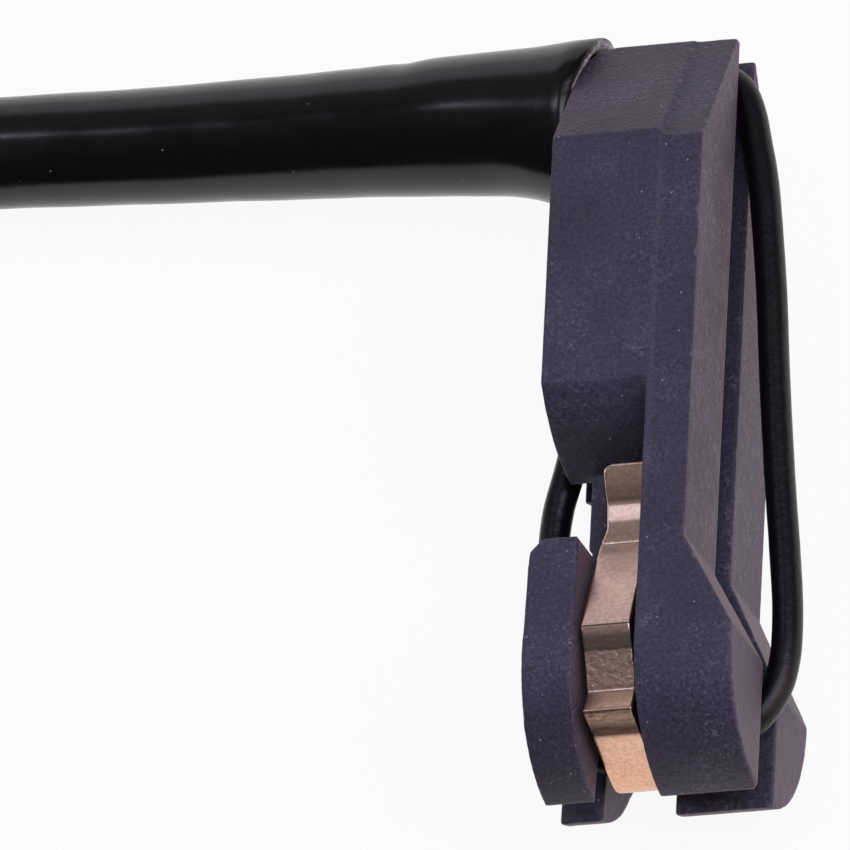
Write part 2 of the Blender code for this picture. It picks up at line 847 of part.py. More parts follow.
def terminal_lock(material):
    """The plate in the nose's mouth that keeps both contacts in."""
    at = plug_stations()
    lock = plug_block(
        "terminal_lock",
        at.nose_end - LOCK_LENGTH,
        at.nose_end,
        NOSE_WIDTH - 2 * LOCK_SIDE_WALL - 2 * GAP,
        NOSE_HEIGHT - 2 * LOCK_TOP_WALL - 2 * GAP,
        LOCK_EDGE - 0.2,
    )
    for _, _, row in contact_rows():
        plug_bore(lock, at.nose_end - LOCK_LENGTH - 1.0, at.nose_end + 1.0, row, LOCK_BORE)
    lock.data.materials.append(material)
    tidy_shading(lock)


def interface_seal(material):
    """The ring seal round the root of the nose."""
    at = plug_stations()
    start = at.body_end + GAP
    width = NOSE_WIDTH + 2 * GAP
    height = NOSE_HEIGHT + 2 * GAP
    wall = 2 * SEAL_THICKNESS
    edge = NOSE_EDGE + GAP
    seal = plug_block(
        "interface_seal",
        start,
        start + SEAL_LENGTH,
        width + wall,
        height + wall,
        edge + SEAL_THICKNESS,
    )
    hole = plug_block("hole", start - 1.0, start + SEAL_LENGTH + 1.0, width, height, edge)
    combine(seal, hole, "DIFFERENCE")
    seal.data.materials.append(material)
    tidy_shading(seal)


def rear_cover(material):
    """The cover behind the housing, with the spout that the sleeve enters."""
    at = plug_stations()
    inset = 2 * COVER_INSET
    cover = plug_block(
        "rear_cover",
        at.housing - COVER_BODY,
        at.housing - GAP,
        PLUG_WIDTH - inset,
        PLUG_HEIGHT - inset,
        COVER_EDGE,
    )
    spout = rod(
        "spout",
        (at.cover, at.y, at.z),
        (at.housing - COVER_BODY + 1.0, at.y, at.z),
        COVER_RADIUS - 0.5,
        end_radius=COVER_RADIUS,
        sides=28,
    )
    combine(cover, spout, "UNION")
    plug_bore(cover, at.cover - 1.0, at.sleeve + GAP, at.y, SLEEVE_DIAMETER / 2 + GAP, sides=28)
    for _, _, row in contact_rows():
        start = (at.sleeve - 1.0, (row + at.y) / 2, at.z)
        way = rod("wire_way", start, (at.housing + 1.0, row, at.z), CONTACT_BORE)
        combine(cover, way, "DIFFERENCE")
    cover.data.materials.append(material)
    tidy_shading(cover)


def wire_seal(number, row, material):
    """The rubber ring that seals one core wire in the housing."""
    at = plug_stations()
    start = at.housing + 0.1
    end = at.housing + WIRE_SEAL_LENGTH
    name = f"wire_seal_{number}"
    seal = rod(name, (start, row, at.z), (end, row, at.z), WIRE_SEAL_RADIUS - GAP / 2)
    combine(
        seal,
        rod("bore", (start - 1.0, row, at.z), (end + 1.0, row, at.z), WIRE_SEAL_BORE),
        "DIFFERENCE",
    )
    seal.data.materials.append(material)
    tidy_shading(seal)


def contact_socket(number, row, material):
    """One socket contact, open towards the nose's mouth."""
    at = plug_stations()
    end = at.contact_end
    name = f"contact_socket_{number}"
    start = (end - CONTACT_LENGTH, row, at.z)
    contact = rod(name, start, (end, row, at.z), CONTACT_RADIUS, sides=16)
    inner = CONTACT_RADIUS - CONTACT_WALL
    plug_bore(contact, end - CONTACT_MOUTH, end + 1.0, row, inner, sides=16)
    contact.data.materials.append(material)
    tidy_shading(contact)


def core_wire(number, side, row, material):
    """One core wire from the sleeve's end to its contact."""
    at = plug_stations()
    start = Vector((at.sleeve + 1.5 * GAP, at.y + side * CORE_WIRE_PITCH / 2, at.z))
    route = (
        start,
        start + Vector((1.2, side * 0.2, 0.0)),
        Vector((at.housing - 0.6, row, at.z)),
        Vector((at.housing + 2.0, row, at.z)),
        Vector((at.contact_end - CONTACT_LENGTH - GAP, row, at.z)),
    )
    tube(f"lead_wire_{number}", smooth_path(route, 12), CORE_WIRE_RADIUS, material)


def plug(materials):
    """The two-way plug at the lead's far end."""
    connector_housing(materials["housing"])
    terminal_lock(materials["lock"])
    interface_seal(materials["seal"])
    rear_cover(materials["cover"])
    for number, side, row in contact_rows():
        wire_seal(number, row, materials["seal"])
        contact_socket(number, row, materials["contact"])
        core_wire(number, side, row, materials["wire"])


def frame_all():
    """Hang every piece on one empty, so that the head stands centred on the origin."""
    left = LOOP_END
    right = max(p[0] for p in LOOP_ROUTE) + WIRE_RADIUS
    frame = bpy.data.objects.new("sensor_frame", None)
    bpy.context.scene.collection.objects.link(frame)
    frame.location = (-(left + right) / 2 * MM, -(FOOT_END + HEAD_TOP) / 2 * MM, 0.0)
    for item in bpy.data.objects:
        if item is not frame and item.parent is None:
            item.parent = frame


def main():
    """Build the whole sensor."""
    clear_scene()
    head_plastic = make_material("glass_filled_nylon", (0.045, 0.045, 0.07), 0.6)
    spring_steel = make_material("bronze_spring_strip", (0.48, 0.33, 0.24), 0.3, 1.0)
    wire_cover = make_material("wire_insulation", (0.012, 0.011, 0.013), 0.4)
    sleeve = make_material("pvc_sleeve", (0.014, 0.013, 0.018), 0.33)
    tie = make_material("tie_band", (0.02, 0.02, 0.02), 0.5)
    plug_materials = {
        "housing": make_material("plug_nylon", (0.02, 0.02, 0.022), 0.5),
        "cover": make_material("cover_nylon", (0.018, 0.018, 0.02), 0.55),
        "lock": make_material("lock_plastic", (0.55, 0.5, 0.4), 0.5),
        "seal": make_material("silicone_seal", (0.42, 0.08, 0.03), 0.5),
        "contact": make_material("tinned_contact", (0.6, 0.58, 0.54), 0.3, 1.0),
        "wire": wire_cover,
    }
    sensor_head(head_plastic)
    retaining_spring(spring_steel)
    wear_loop(wire_cover)
    sleeve_run(sleeve)
    sleeve_coil(sleeve)
    for number, angle in enumerate(TIE_ANGLES, start=1):
        coil_tie(number, angle, tie)
    sleeve_tail(sleeve)
    plug(plug_materials)
    frame_all()


main()
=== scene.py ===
"""Looks of the brake pad wear sensor: a moulded nylon head with a bronze leaf spring and an
insulated wear loop, on a sleeved lead that is coiled beside it and ends in its plug.

Sizes are in millimetres in the head's own frame, which Bench places in the row frame: x runs
across the head from the block's left face, y up from the foot, and z out of the front face
from the surface that the head lies on.
"""

import logging
import math
from dataclasses import dataclass, field
from enum import Enum
from typing import Sequence

import bmesh
import bpy
from mathutils import Matrix, Vector, noise


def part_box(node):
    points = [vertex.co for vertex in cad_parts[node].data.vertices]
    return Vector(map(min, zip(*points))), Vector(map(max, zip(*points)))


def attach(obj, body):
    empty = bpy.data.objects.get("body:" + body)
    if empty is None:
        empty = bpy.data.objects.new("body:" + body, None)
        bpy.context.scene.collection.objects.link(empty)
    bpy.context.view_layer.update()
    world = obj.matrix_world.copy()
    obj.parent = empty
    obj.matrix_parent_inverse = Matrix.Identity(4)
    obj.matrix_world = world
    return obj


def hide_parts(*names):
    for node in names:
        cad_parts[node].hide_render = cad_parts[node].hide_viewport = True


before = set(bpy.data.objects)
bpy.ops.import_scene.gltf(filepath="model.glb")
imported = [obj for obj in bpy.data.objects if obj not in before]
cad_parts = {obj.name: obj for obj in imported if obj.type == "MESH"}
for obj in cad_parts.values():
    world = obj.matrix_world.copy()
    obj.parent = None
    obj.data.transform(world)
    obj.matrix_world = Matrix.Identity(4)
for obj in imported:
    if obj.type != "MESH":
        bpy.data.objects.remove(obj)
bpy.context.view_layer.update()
LOG = logging.getLogger("wear_sensor")
MM = 0.001

Point = tuple[float, float, float]
Ring = list[Vector]
Tree = bpy.types.NodeTree
Socket = bpy.types.NodeSocket


def linear(colour: str, alpha: float = 1.0) -> tuple[float, float, float, float]:
    """Turn an sRGB hex colour into linear values.

    Args:
        colour: The colour as six hex digits after a hash.
        alpha: The fourth value.

    Returns:
        Red, green, blue and alpha for a node's socket.
    """
    parts = [int(colour[i : i + 2], 16) / 255 for i in (1, 3, 5)]
    made = [p / 12.92 if p <= 0.04045 else ((p + 0.055) / 1.055) ** 2.4 for p in parts]
    return (made[0], made[1], made[2], alpha)


def smooth(share: float) -> float:
    """Ease a share from 0 to 1 with level ends."""
    share = min(max(share, 0.0), 1.0)
    return share * share * (3 - 2 * share)


class Bench:
    """Where the head stands in the row frame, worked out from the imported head."""

    FOOT_WIDTH = 8.6
    HEAD_TOP = 32.45

    def __init__(self) -> None:
        """Find the head's own origin from its packed corners."""
        _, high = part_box("sensor_head")
        self.origin = Vector((high[0] / MM - self.FOOT_WIDTH, high[1] / MM - self.HEAD_TOP, 0.0))

    def place(self, spot: Sequence[float]) -> Vector:
        """Turn a point of the head's frame in millimetres into the row frame in metres."""
        return (Vector(spot) + self.origin) * MM

    def scatter(self, name: str, shape: bmesh.types.BMesh) -> bpy.types.Object:
        """Make an object from a bmesh in the head's frame.

        Args:
            name: The piece's name.
            shape: Its mesh in millimetres. It is freed here.

        Returns:
            The new object, smooth shaded, riding on the root body.
        """
        for vertex in shape.verts:
            vertex.co = self.place(vertex.co)
        bmesh.ops.recalc_face_normals(shape, faces=shape.faces)
        mesh = bpy.data.meshes.new(name)
        shape.to_mesh(mesh)
        shape.free()
        mesh.shade_smooth()
        piece = bpy.data.objects.new(name, mesh)
        bpy.context.scene.collection.objects.link(piece)
        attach(piece, "root")
        return piece


# Finishes


def add_node(
    tree: Tree,
    kind: str,
    settings: dict[str, object] | None = None,
    links: dict[str, Socket] | None = None,
) -> bpy.types.Node:
    """Add a node with its settings and links.

    Args:
        tree: The material's node tree.
        kind: The node's type without its ShaderNode prefix.
        settings: Values by an input's name or number, or by the name of the node's property.
        links: Sockets to link from, by the input's name or number.

    Returns:
        The new node.
    """
    node = tree.nodes.new("ShaderNode" + kind)
    for name, value in (settings or {}).items():
        key = int(name) if name.isdigit() else name
        if isinstance(key, int) or key in node.inputs:
            node.inputs[key].default_value = value
        else:
            setattr(node, name, value)
    for name, source in (links or {}).items():
        tree.links.new(source, node.inputs[int(name) if name.isdigit() else name])
    return node


def add_ramp(tree: Tree, source: Socket, stops: Sequence[tuple[float, str]]) -> Socket:
    """Add a colour ramp.

    Args:
        tree: The material's node tree.
        source: What the ramp reads.
        stops: Places from 0 to 1, each with its sRGB colour.

    Returns:
        The ramp's colour socket.
    """
    ramp = add_node(tree, "ValToRGB", links={"Fac": source})
    knots = ramp.color_ramp.elements
    while len(knots) < len(stops):
        knots.new(0.5)
    for knot, (place, _) in zip(knots, stops):
        knot.position = place
    for knot, (_, colour) in zip(sorted(knots, key=lambda k: k.position), stops):
        knot.color = linear(colour)
    return ramp.outputs["Color"]


def add_band(
    tree: Tree,
    source: Socket,
    band: tuple[float, float],
    ends: tuple[float, float] = (0.0, 1.0),
) -> Socket:
    """Stretch the part of a value that lies in a band, and hold the rest at the band's ends.

    Args:
        tree: The material's node tree.
        source: The value.
        band: Where the stretch starts and ends.
        ends: What it gives at those two places.

    Returns:
        The stretched value's socket.
    """
    settings = {"From Min": band[0], "From Max": band[1], "To Min": ends[0], "To Max": ends[1]}
    return add_node(tree, "MapRange", settings, {"Value": source}).outputs[0]


def add_product(tree: Tree, first: Socket, second: Socket) -> Socket:
    """Multiply two values, and give the product's socket."""
    both = add_node(tree, "Math", {"operation": "MULTIPLY"}, {"0": first, "1": second})
    return both.outputs[0]


def add_noise(
    tree: Tree, spot: Socket, per_mm: float, detail: float = 2.0, roughness: float = 0.5
) -> Socket:
    """Add a cloudy pattern.

    Args:
        tree: The material's node tree.
        spot: The surface's coordinates in millimetres.
        per_mm: How many of its widest swells lie in a millimetre.
        detail: How many finer layers it has.
        roughness: How strongly the finer layers show.

    Returns:
        The pattern's socket, from 0 to 1.
    """
    settings = {"Scale": per_mm, "Detail": detail, "Roughness": roughness}
    return add_node(tree, "TexNoise", settings, {"Vector": spot}).outputs["Fac"]


def add_bump(
    tree: Tree,
    shader: bpy.types.Node,
    height: Socket,
    depth: float,
    strength: Socket | None = None,
) -> None:
    """Raise a grain on a shader's surface.

    Args:
        tree: The material's node tree.
        shader: Its Principled shader.
        height: The grain's height from 0 to 1.
        depth: How deep it goes in millimetres.
        strength: How much of it shows, where that varies over the piece.
    """
    links = {"Height": height}
    if strength is not None:
        links["Strength"] = strength
    bump = add_node(tree, "Bump", {"Strength": 1.0, "Distance": depth * MM}, links)
    tree.links.new(bump.outputs[0], shader.inputs["Normal"])


def add_specks(tree: Tree, spot: Socket, gap: float, size: float, share: float) -> Socket:
    """Scatter small specks, one at most in each cell of an uneven grid.

    Args:
        tree: The material's node tree.
        spot: The surface's coordinates in millimetres.
        gap: The grid's spacing in millimetres.
        size: A speck's radius in millimetres.
        share: The share of the cells that have one.

    Returns:
        A socket that is 1 on a speck and 0 elsewhere.
    """
    grid = add_node(tree, "TexVoronoi", {"Scale": 1 / gap}, {"Vector": spot})
    near = add_band(tree, grid.outputs["Distance"], (size / gap, 0.5 * size / gap))
    chosen = add_node(tree, "SeparateColor", links={"Color": grid.outputs["Color"]})
    kept = add_node(
        tree, "Math", {"operation": "LESS_THAN", "1": share}, {"0": chosen.outputs["Red"]}
    )
    return add_product(tree, near, kept.outputs[0])


def add_mix(
    tree: Tree,
    factor: Socket | float,
    first: Socket | str,
    second: Socket | str,
    blend: str = "MIX",
) -> Socket:
    """Mix two colours.

    Args:
        tree: The material's node tree.
        factor: How much of the second colour, as a socket or a number.
        first: The first colour, as a socket or in sRGB.
        second: The second colour, as a socket or in sRGB.
        blend: How they blend.

    Returns:
        The mixed colour's socket.
    """
    settings: dict[str, object] = {"data_type": "RGBA", "blend_type": blend}
    links: dict[str, Socket] = {}
    for key, value in (("0", factor), ("6", first), ("7", second)):
        if isinstance(value, Socket):
            links[key] = value
        else:
            settings[key] = linear(value) if isinstance(value, str) else value
    return add_node(tree, "Mix", settings, links).outputs[2]


@dataclass(frozen=True)
class Finish:
    """What a surface is made of: its plain values, and the patterns that subclasses lay on it."""

    name: str
    colour: str
    roughness: float
    metallic: float = 0.0
    ior: float = 1.5
    sheen: float = 0.0
    sheen_tint: str = "#ffffff"
    sheen_roughness: float = 0.35

    def make(self) -> bpy.types.Material:
        """Build the material.

        Returns:
            A material with one Principled shader.
        """
        made = bpy.data.materials.new(self.name)
        made.use_nodes = True
        tree = made.node_tree
        shader = tree.nodes["Principled BSDF"]
        shader.inputs["Base Color"].default_value = linear(self.colour)
        shader.inputs["Roughness"].default_value = self.roughness
        shader.inputs["Metallic"].default_value = self.metallic
        if not self.metallic:
            shader.inputs["IOR"].default_value = self.ior
        shader.inputs["Sheen Weight"].default_value = self.sheen
        shader.inputs["Sheen Roughness"].default_value = self.sheen_roughness
        shader.inputs["Sheen Tint"].default_value = linear(self.sheen_tint)
        self.pattern(tree, shader)
        return made

    def pattern(self, tree: Tree, shader: bpy.types.Node) -> None:
        """Lay the finish's own pattern on the shader; plain finishes have none."""

    def millimetres(self, tree: Tree) -> Socket:
        """Give the surface's own coordinates in millimetres.

        Args:
            tree: The material's node tree.

        Returns:
            The coordinates' socket.
        """
        coords = add_node(tree, "TexCoord")
        scaled = add_node(
            tree,
            "VectorMath",
            {"operation": "SCALE", "Scale": 1 / MM},
            {"0": coords.outputs["Object"]},
        )
        return scaled.outputs[0]

    def vary_gloss(
        self,
        tree: Tree,
        shader: bpy.types.Node,
        source: Socket,
        spread: tuple[float, float],
    ) -> None:
        """Let the gloss follow the surface's pattern.

        Args:
            tree: The material's node tree.
            shader: Its Principled shader.
            source: The pattern from 0 to 1.
            spread: How far the roughness falls below its plain value, and how far it rises.
        """
        ends = (self.roughness - spread[0], self.roughness + spread[1])
        gloss = add_band(tree, source, (0.0, 1.0), ends)
        tree.links.new(gloss, shader.inputs["Roughness"])


@dataclass(frozen=True)
class MouldedPlastic(Finish):
    """Injection-moulded plastic: the tool's spark-eroded grain gives a fine, uneven sparkle.

    Each band is the stretch of a pattern over which its mark grows from none to full.
    """

    light: str = "#4b4a58"
    grain: float = 0.16
    grain_band: tuple[float, float] = (0.34, 0.66)
    depth: float = 0.03
    gloss_spread: tuple[float, float] = (0.08, 0.1)
    streak: float = 3.0
    streak_band: tuple[float, float] = (0.3, 0.7)
    # Pale fleck colour, which also paints the highlight along the outer edges.
    fleck_and_edge_light: str = "#3a3a40"
    fleck_share: float = 0.0
    flecks_per_mm: float = 6.5
    fleck_band: tuple[float, float] = (0.55, 0.7)
    patches_per_mm: float = 0.35
    patch_band: tuple[float, float] = (0.42, 0.62)
    # How strongly a broken pale highlight is painted along the outer edges.
    wear: float = 0.0
    edge_band: tuple[float, float] = (0.53, 0.6)
    broken_band: tuple[float, float] = (0.4, 0.62)
    dust: str = "#a9a6b4"
    dust_share: float = 0.0
    dust_gap: float = 0.3
    dust_size: float = 0.045

    def add_flecks(self, tree: Tree, spot: Socket) -> Socket:
        """Add pale specks of glass fibre worn bare, which lie in patches.

        Args:
            tree: The material's node tree.
            spot: The surface's coordinates in millimetres.

        Returns:
            A socket that says how much of the pale colour shows.
        """
        fine = add_noise(tree, spot, self.flecks_per_mm, roughness=0.7)
        patch = add_noise(tree, spot, self.patches_per_mm)
        shown = add_band(tree, fine, self.fleck_band, (0.0, self.fleck_share))
        return add_product(tree, shown, add_band(tree, patch, self.patch_band))

    def add_painted_edge_light(self, tree: Tree, grain: Socket) -> Socket:
        """Find the outer edges, and paint a pale highlight along them, broken in places.

        Args:
            tree: The material's node tree.
            grain: The surface's grain, which breaks the painted highlight up.

        Returns:
            A socket that says how much of the pale colour shows.
        """
        shape = add_node(tree, "NewGeometry")
        edge = add_band(tree, shape.outputs["Pointiness"], self.edge_band, (0.0, self.wear))
        return add_product(tree, edge, add_band(tree, grain, self.broken_band))

    def pattern(self, tree: Tree, shader: bpy.types.Node) -> None:
        """Speckle the colour, paint a broken highlight along the outer edges, grain the surface, vary
        the gloss and add a little dust.

        Args:
            tree: The material's node tree.
            shader: Its Principled shader.
        """
        spot = self.millimetres(tree)
        grain = add_noise(tree, spot, 1 / self.grain, 3.0, 0.6)
        cloud = add_noise(tree, spot, 1 / self.streak)
        tones = add_ramp(tree, grain, list(zip(self.grain_band, (self.colour, self.light))))
        wide = add_ramp(tree, cloud, list(zip(self.streak_band, ("#dedede", "#ffffff"))))
        toned = add_mix(tree, 1.0, tones, wide, "MULTIPLY")
        flecked_and_edge_lit = add_mix(tree, self.add_flecks(tree, spot), toned, self.fleck_and_edge_light)
        # Paint a broken pale highlight along the outer edges in the pale fleck colour.
        if self.wear:
            flecked_and_edge_lit = add_mix(tree, self.add_painted_edge_light(tree, grain), flecked_and_edge_lit, self.fleck_and_edge_light)
        specks = add_specks(tree, spot, self.dust_gap, self.dust_size, self.dust_share)
        tree.links.new(add_mix(tree, specks, flecked_and_edge_lit, self.dust), shader.inputs["Base Color"])
        self.vary_gloss(tree, shader, grain, self.gloss_spread)
        add_bump(tree, shader, grain, self.depth)


@dataclass(frozen=True)
class ExtrudedSleeve(Finish):
    """Soft extruded vinyl: a glossy skin with faint drawn waves and pale dust on it."""

    dust: str = "#8d8b90"
    dust_gap: float = 0.8
    dust_size: float = 0.05
    dust_share: float = 0.35
    wave: float = 1.1
    depth: float = 0.012
    gloss_spread: tuple[float, float] = (0.05, 0.07)

    def pattern(self, tree: Tree, shader: bpy.types.Node) -> None:
        """Add the dust, the skin's slow waves and uneven gloss.

        Args:
            tree: The material's node tree.
            shader: Its Principled shader.
        """
        spot = self.millimetres(tree)
        specks = add_specks(tree, spot, self.dust_gap, self.dust_size, self.dust_share)
        tree.links.new(add_mix(tree, specks, self.colour, self.dust), shader.inputs["Base Color"])
        skin = add_noise(tree, spot, 1 / self.wave, 4.0)
        self.vary_gloss(tree, shader, skin, self.gloss_spread)
        add_bump(tree, shader, skin, self.depth)


@dataclass(frozen=True)
class RolledBronze(Finish):
    """Cold-rolled phosphor bronze strip, lighter and darker in runs along its length; its darkest run
    is painted shade.
    """

    # Tones along the strip as shares of its length, a dark run of them painted shade.
    tones_and_shade: tuple[tuple[float, str], ...] = ()
    pits: tuple[tuple[float, str], ...] = ()
    pit_size: float = 0.16
    depth: float = 0.03
    speckle: tuple[tuple[float, str], ...] = ((0.32, "#e4ddd7"), (0.62, "#ffffff"))

    def pattern(self, tree: Tree, shader: bpy.types.Node) -> None:
        """Colour the strip along its length, and pit it where it is rough.

        Args:
            tree: The material's node tree.
            shader: Its Principled shader.
        """
        spot = self.millimetres(tree)
        along = add_node(tree, "Attribute", {"attribute_name": "strip_share"}).outputs["Fac"]
        # The tones along the strip include a dark run of painted shade.
        tones = add_ramp(tree, along, self.tones_and_shade)
        grain = add_noise(tree, spot, 1 / self.pit_size, 3.0, 0.6)
        toned = add_mix(tree, 1.0, tones, add_ramp(tree, grain, self.speckle), "MULTIPLY")
        tree.links.new(toned, shader.inputs["Base Color"])
        add_bump(tree, shader, grain, self.depth, add_ramp(tree, along, self.pits))


@dataclass(frozen=True)
class FineGrain(Finish):
    """A plain moulded, rubbery or plated skin with one small grain in its colour and surface."""

    dark: str = "#111111"
    grain: float = 0.3
    grain_band: tuple[float, float] = (0.3, 0.7)
    depth: float = 0.01

    def pattern(self, tree: Tree, shader: bpy.types.Node) -> None:
        """Vary the colour a little and grain the surface.

        Args:
            tree: The material's node tree.
            shader: Its Principled shader.
        """
        spot = self.millimetres(tree)
        grain = add_noise(tree, spot, 1 / self.grain)
        tones = add_ramp(tree, grain, list(zip(self.grain_band, (self.dark, self.colour))))
        tree.links.new(tones, shader.inputs["Base Color"])
        add_bump(tree, shader, grain, self.depth)


# Glass-filled nylon, moulded: matt blue-grey, with pale fleck patches of fibre worn bare and a painted
# highlight along its edges
HEAD_NYLON = MouldedPlastic(
    "glass_filled_nylon",
    "#363446",
    0.52,
    ior=1.43,
    sheen=0.35,
    sheen_tint="#ffccc4",
    # Strength of the pale highlight painted along the edges.
    wear=0.5,
    light="#4f4b62",
    fleck_and_edge_light="#7d7a8c",
    fleck_share=0.55,
    depth=0.045,
    dust_share=0.1,
)
# Soft black vinyl, extruded and pushed on warm: a glossy dark skin with slow waves and dust
VINYL_SLEEVE = ExtrudedSleeve("black_vinyl_sleeve", "#0c0a0c", 0.2, ior=1.47)
# The sleeve's cut rim: near-white, a painted highlight along its torn inner edge, rough
PAINTED_RIM_HIGHLIGHT = FineGrain("cut_vinyl", "#e6e2e4", 0.7, dark="#6a6468", grain=0.14, depth=0.05)
# Cross-linked polyethylene insulation, extruded: near black with a faint grain
LOOP_INSULATION = FineGrain(
    "loop_insulation", "#0e0b0f", 0.34, ior=1.38, dark="#08060a", grain=0.25, depth=0.02
)
# Nylon tie, moulded: plain black with a soft sheen
TIE_NYLON = FineGrain("tie_nylon", "#18181a", 0.45, dark="#101012")
# Black polyester of the plug, moulded with a fine even grain
PLUG_POLYESTER = MouldedPlastic("plug_polyester", "#17171a", 0.5, light="#232327", grain=0.3)
# Silicone rubber, moulded: a soft brick red
SEAL_SILICONE = FineGrain("seal_silicone", "#a8452f", 0.5, dark="#8f3725")
# Natural polyester of the terminal lock, moulded: off-white
LOCK_POLYESTER = FineGrain("lock_polyester", "#d8d0bd", 0.45, dark="#c8bfa9")
# Tinned brass of the contacts, stamped: grey and slightly dull
TINNED_BRASS = FineGrain("tinned_brass", "#c9c6c0", 0.3, 1.0, dark="#b3afa8")


# Swept shapes


def smooth_route(points: Sequence[Sequence[float]], step: float) -> Ring:
    """Lay a smooth curve through a route's own points.

    Args:
        points: The route's points in millimetres.
        step: The distance between the points returned.

    Returns:
        Points evenly spaced on the curve, its two ends among them.
    """
    knots = [Vector(p) for p in points]
    knots = [2 * knots[0] - knots[1], *knots, 2 * knots[-1] - knots[-2]]
    dense: Ring = []
    parts = 24
    for i in range(1, len(knots) - 2):
        before, start, end, after = knots[i - 1 : i + 3]
        for j in range(parts):
            t = j / parts
            dense.append(
                0.5
                * (
                    2 * start
                    + (end - before) * t
                    + (2 * before - 5 * start + 4 * end - after) * t**2
                    + (3 * start - before - 3 * end + after) * t**3
                )
            )
    dense.append(knots[-2])
    return even(dense, step)


def even(points: Ring, step: float) -> Ring:
    """Space a path's points evenly.

    Args:
        points: The path.
        step: The distance wanted between points.

    Returns:
        The same path with evenly spaced points.
    """
    lengths = [0.0]
    for first, second in zip(points, points[1:]):
        lengths.append(lengths[-1] + (second - first).length)
    count = max(2, round(lengths[-1] / step) + 1)
    made: Ring = []
    j = 0
    for i in range(count):
        wanted = lengths[-1] * i / (count - 1)
        while j < len(lengths) - 2 and lengths[j + 1] < wanted:
            j += 1
        share = (wanted - lengths[j]) / max(lengths[j + 1] - lengths[j], 1e-9)
        made.append(points[j].lerp(points[j + 1], min(share, 1.0)))
    return made


def path_length(points: Ring) -> float:
    """Measure a path."""
    return sum((b - a).length for a, b in zip(points, points[1:]))


def carried_frames(points: Ring) -> list[tuple[Vector, Vector, Vector]]:
    """Carry a side and an up vector along a path without twisting them.

    Args:
        points: The path.

    Returns:
        Each point with its side and up vectors.
    """
    made = []
    up = Vector((0.0, 0.0, 1.0))
    for i, place in enumerate(points):
        along = points[min(i + 1, len(points) - 1)] - points[max(i - 1, 0)]
        along.normalize()
        side = along.cross(up).normalized()
        up = side.cross(along).normalized()
        made.append((place, side, up))
    return made


def skin_rings(shape: bmesh.types.BMesh, rings: Sequence[Ring], marked: int = -1) -> None:
    """Skin a row of rings with quads, and cap both ends.

    Args:
        shape: The bmesh that takes them.
        rings: Rings with the same number of points.
        marked: The number of the ring from which one band of faces takes the second material.
    """
    rows = [[shape.verts.new(p) for p in ring] for ring in rings]
    for band, (first, second) in enumerate(zip(rows, rows[1:])):
        for i in range(len(first)):
            j = (i + 1) % len(first)
            face = shape.faces.new((first[i], first[j], second[j], second[i]))
            face.material_index = 1 if band == marked else 0
    shape.faces.new(rows[0])
    shape.faces.new(rows[-1])


